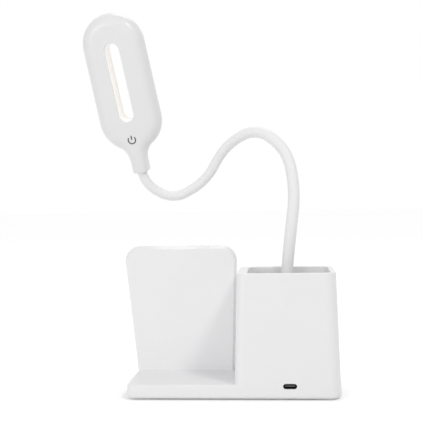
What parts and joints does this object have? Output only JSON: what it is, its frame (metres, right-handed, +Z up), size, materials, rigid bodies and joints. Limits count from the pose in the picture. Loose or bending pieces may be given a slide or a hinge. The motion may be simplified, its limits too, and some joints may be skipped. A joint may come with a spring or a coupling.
{
  "type": "desk lamp with pen cup and phone stand",
  "caption": "Rechargeable desk lamp with a slotted paddle head on a flexible neck, standing in a pen cup beside a low shelf with an upright phone plate.",
  "frame": {"origin": "middle of the non-slip pad's underside, on the table", "axes": "+X to the right of someone facing the front, +Y to the back, +Z up; the charging socket is in the front face, towards -Y"},
  "size_m": [0.1837, 0.1076, 0.2708],
  "materials": {
    "white_plastic": "fine matt moulded surface",
    "warm_plastic": "matt, slightly warm white",
    "white_sleeve": "smooth matt silicone",
    "steel_core": "plain steel",
    "grey_rubber": "matt soft pad",
    "zinc_screws": "zinc-plated",
    "ballast_iron": "plain pressed plate",
    "cell_foil": "foil pouch",
    "green_board": "lacquered circuit board",
    "board_parts": "moulded components",
    "black_socket": "dark plated metal",
    "bright_steel": "turned steel",
    "milky_diffuser": "milky, lets light through",
    "led_yellow": "phosphor-coated",
    "black_foam": "conducting foam",
    "icon_grey": "printed"
  },
  "bodies": {
    "root": {"base_shell": "white_plastic", "bottom_cover": "white_plastic", "non_slip_pad": "grey_rubber", "cover_screws": "zinc_screws", "plate_screws": "zinc_screws", "ballast_plate": "ballast_iron", "battery_cell": "cell_foil", "main_board": "green_board", "board_screws": "zinc_screws", "board_components": "board_parts", "socket_shell": "black_socket", "socket_tongue": "board_parts", "phone_plate": "white_plastic", "plate_back_cover": "white_plastic", "neck_bush": "bright_steel", "neck_nut": "bright_steel", "neck_sleeve_0": "white_sleeve", "neck_core_0": "steel_core"},
    "neck_1": {"neck_sleeve_1": "white_sleeve", "neck_core_1": "steel_core"},
    "neck_2": {"neck_sleeve_2": "white_sleeve", "neck_core_2": "steel_core"},
    "neck_3": {"neck_sleeve_3": "white_sleeve", "neck_core_3": "steel_core"},
    "neck_4": {"neck_sleeve_4": "white_sleeve", "neck_core_4": "steel_core"},
    "neck_5": {"neck_sleeve_5": "white_sleeve", "neck_core_5": "steel_core"},
    "neck_6": {"neck_sleeve_6": "white_sleeve", "neck_core_6": "steel_core"},
    "neck_7": {"neck_sleeve_7": "white_sleeve", "neck_core_7": "steel_core"},
    "head": {"neck_sleeve_head": "white_sleeve", "neck_core_head": "steel_core", "head_back_shell": "white_plastic", "head_front_shell": "white_plastic", "diffuser": "milky_diffuser", "slot_liner": "warm_plastic", "led_board": "green_board", "led_chips": "led_yellow", "touch_board": "green_board", "touch_foam": "black_foam", "power_icon": "icon_grey", "head_screws": "zinc_screws", "neck_ferrule": "bright_steel", "pinch_screw": "zinc_screws"}
  },
  "joints": [
    {"name": "neck_1_lean_low", "type": "hinge", "parent": "root", "child": "neck_1", "pos_m": [0.03785, 0.01535, 0.09255], "axis": [-0.9843, 0.1519, 0.09], "range_deg": [-15, 15]},
    {"name": "neck_2_swing_low", "type": "hinge", "parent": "neck_1", "child": "neck_2", "pos_m": [0.0414, 0.0209, 0.122], "axis": [-0.1114, -0.9618, 0.2499], "range_deg": [-15, 15]},
    {"name": "neck_3_lean_mid", "type": "hinge", "parent": "neck_2", "child": "neck_3", "pos_m": [0.0409, 0.02865, 0.1516], "axis": [0.9468, -0.2363, 0.2183], "range_deg": [-15, 15]},
    {"name": "neck_4_arch_bend", "type": "hinge", "parent": "neck_3", "child": "neck_4", "pos_m": [0.0274, 0.03825, 0.1756], "axis": [-0.4484, -0.8938, -0.0117], "range_deg": [-20, 20]},
    {"name": "neck_5_arch_lean", "type": "hinge", "parent": "neck_4", "child": "neck_5", "pos_m": [0.0042, 0.04985, 0.1786], "axis": [-0.4124, 0.0881, 0.9068], "range_deg": [-15, 15]},
    {"name": "neck_6_dip_bend", "type": "hinge", "parent": "neck_5", "child": "neck_6", "pos_m": [-0.0161, 0.0612, 0.1589], "axis": [0.1978, 0.9495, 0.2438], "range_deg": [-20, 20]},
    {"name": "neck_7_dip_lean", "type": "hinge", "parent": "neck_6", "child": "neck_7", "pos_m": [-0.03735, 0.0708, 0.13875], "axis": [0.5117, 0.3485, -0.7853], "range_deg": [-20, 20]},
    {"name": "neck_8_head_bend", "type": "hinge", "parent": "neck_7", "child": "head", "pos_m": [-0.06103, 0.07302, 0.13839], "axis": [-0.0432, 0.9634, 0.2646], "range_deg": [-20, 20]}
  ]
}
